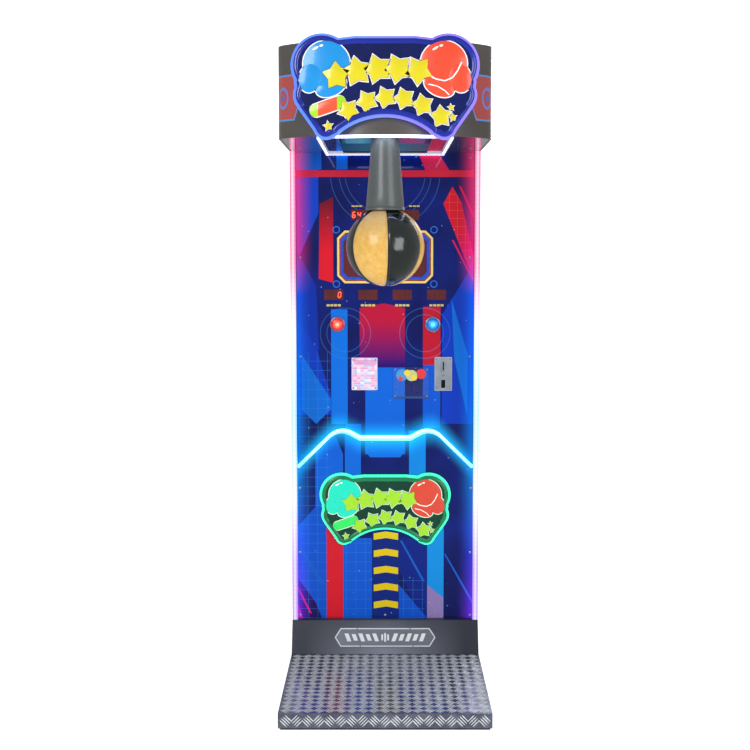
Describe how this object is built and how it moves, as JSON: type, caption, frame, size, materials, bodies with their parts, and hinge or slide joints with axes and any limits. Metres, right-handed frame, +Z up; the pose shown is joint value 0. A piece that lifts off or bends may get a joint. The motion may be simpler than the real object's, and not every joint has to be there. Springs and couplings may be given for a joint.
{
  "type": "boxing punch machine",
  "caption": "Upright arcade punch machine: tall lit cabinet on a tread-plate platform, overhanging curved head, and a ball on an arm that swings up into the head.",
  "frame": {"origin": "on the floor, in the middle of the machine's width and of its whole depth", "axes": "+Z up, the player stands on the -Y side, +X to the player's right"},
  "size_m": [0.7, 1.1997, 2.2319],
  "materials": {
    "black_steel": "satin black powder coat",
    "tread_aluminium": "five-bar tread plate, bright mill finish",
    "black_rubber": "matte",
    "wheel_rubber": "moulded, matte",
    "zinc_steel": "zinc plated",
    "side_laminate": "board with printed gloss laminate",
    "raw_board": "plain plywood",
    "slate_paint": "satin slate powder coat",
    "name_plate_metal": "satin plate with printed white lines",
    "satin_aluminium": "satin anodised",
    "lit_column": "opal diffuser, lit",
    "black_laminate": "board with black laminate",
    "black_plastic": "moulded, fine texture",
    "printed_front": "board with printed art under clear gloss sheet",
    "lit_neon": "silicone neon strip, lit",
    "printed_frame": "printed yellow, red and blue rims",
    "smoked_red": "smoked red window, digits lit behind it",
    "display_module": "black module and green board",
    "clear_bezel": "clear moulded bezel",
    "red_dome": "translucent red, lit",
    "blue_dome": "translucent blue, lit",
    "cast_zinc": "silver-grey coat",
    "galvanised_sheet": "galvanised",
    "chrome_trim": "polished",
    "printed_plate": "printed pale plate",
    "lit_sign_edge": "edge-lit clear sheet",
    "sign_board": "thick moulded board, gloss",
    "sign_artwork": "raised printed shapes",
    "band_laminate": "bent board, dark grey-brown satin laminate",
    "mirror_ceiling": "smoked mirror sheet",
    "lit_ceiling": "opal diffuser, lit",
    "cast_housing": "painted bearing housing",
    "magnet_steel": "zinc-plated pot magnet",
    "circuit_parts": "circuit board tray and power supply",
    "bright_steel": "turned steel",
    "sleeve_leather": "dark grey satin synthetic leather",
    "bag_leather": "six gores, gold and black"
  },
  "bodies": {
    "root": {"platform_frame": "black_steel", "tread_plate": "tread_aluminium", "platform_foot_strips": "black_rubber", "base_frame": "black_steel", "levelling_feet": "zinc_steel", "wheel_brackets": "zinc_steel", "side_panel_left": "side_laminate", "side_panel_right": "side_laminate", "floor_and_battens": "raw_board", "kick_plate": "slate_paint", "name_plate": "name_plate_metal", "column_channels": "satin_aluminium", "column_lenses": "lit_column", "back_panel": "black_laminate", "hinge_leaves_cabinet": "zinc_steel", "power_inlet": "black_plastic", "fan_housing": "black_plastic", "upper_panel": "printed_front", "lower_cover": "printed_front", "neon_strip": "lit_neon", "score_frame": "printed_frame", "display_windows": "smoked_red", "display_units": "display_module", "button_bezels": "clear_bezel", "button_fittings": "black_plastic", "coin_plate": "cast_zinc", "coin_acceptor": "black_plastic", "coin_chute": "galvanised_sheet", "cash_box": "galvanised_sheet", "front_plates": "printed_plate", "front_screws": "chrome_trim", "sign_backplates": "lit_sign_edge", "sign_boards": "sign_board", "sign_artwork": "sign_artwork", "sign_standoffs": "satin_aluminium", "marquee_band": "band_laminate", "ceiling_panel": "mirror_ceiling", "ceiling_light": "lit_ceiling", "roof_panel": "black_laminate", "mechanism_frame": "black_steel", "bearing_blocks": "cast_housing", "hold_magnet": "magnet_steel", "arm_buffers": "black_rubber", "cabinet_electronics": "circuit_parts", "speakers": "black_plastic"},
    "punch_arm": {"pivot_shaft": "bright_steel", "swing_arm": "bright_steel", "bag_sleeve": "sleeve_leather", "punch_bag": "bag_leather", "armature_lever": "bright_steel"},
    "left_button": {"button_left": "red_dome"},
    "right_button": {"button_right": "blue_dome"},
    "coin_reject": {"reject_button": "chrome_trim"},
    "service_door": {"rear_door": "black_laminate", "hinge_leaves_door": "zinc_steel", "lock_barrel": "chrome_trim"},
    "door_cam": {"lock_cam": "chrome_trim"},
    "left_wheel": {"transport_wheel_left": "wheel_rubber"},
    "right_wheel": {"transport_wheel_right": "wheel_rubber"},
    "fan": {"fan_rotor": "black_plastic"}
  },
  "joints": [
    {"name": "punch_swing", "type": "hinge", "parent": "root", "child": "punch_arm", "pos_m": [0, -0.47, 2.03], "axis": [1, 0, 0], "range_deg": [0, 90]},
    {"name": "left_button_press", "type": "slide", "parent": "root", "child": "left_button", "axis": [0, 1, 0], "range_m": [0, 0.004], "stiffness_N_per_m": 400, "springref_m": -0.002},
    {"name": "right_button_press", "type": "slide", "parent": "root", "child": "right_button", "axis": [0, 1, 0], "range_m": [0, 0.004], "stiffness_N_per_m": 400, "springref_m": -0.002},
    {"name": "coin_reject_press", "type": "slide", "parent": "root", "child": "coin_reject", "axis": [0, 1, 0], "range_m": [0, 0.003], "stiffness_N_per_m": 250, "springref_m": -0.002},
    {"name": "service_door_swing", "type": "hinge", "parent": "root", "child": "service_door", "pos_m": [-0.229, 0.596, 0.7], "axis": [0, 0, 1], "range_deg": [0, 110]},
    {"name": "door_cam_turn", "type": "hinge", "parent": "service_door", "child": "door_cam", "pos_m": [0.204, 0.58, 0.7], "axis": [0, 1, 0], "range_deg": [0, 90]},
    {"name": "left_wheel_spin", "type": "hinge", "parent": "root", "child": "left_wheel", "pos_m": [-0.298, 0.573, 0.029], "axis": [1, 0, 0], "continuous": true},
    {"name": "right_wheel_spin", "type": "hinge", "parent": "root", "child": "right_wheel", "pos_m": [0.298, 0.573, 0.029], "axis": [1, 0, 0], "continuous": true},
    {"name": "fan_spin", "type": "hinge", "parent": "root", "child": "fan", "pos_m": [0, 0.5675, 1.6], "axis": [0, 1, 0], "continuous": true}
  ]
}
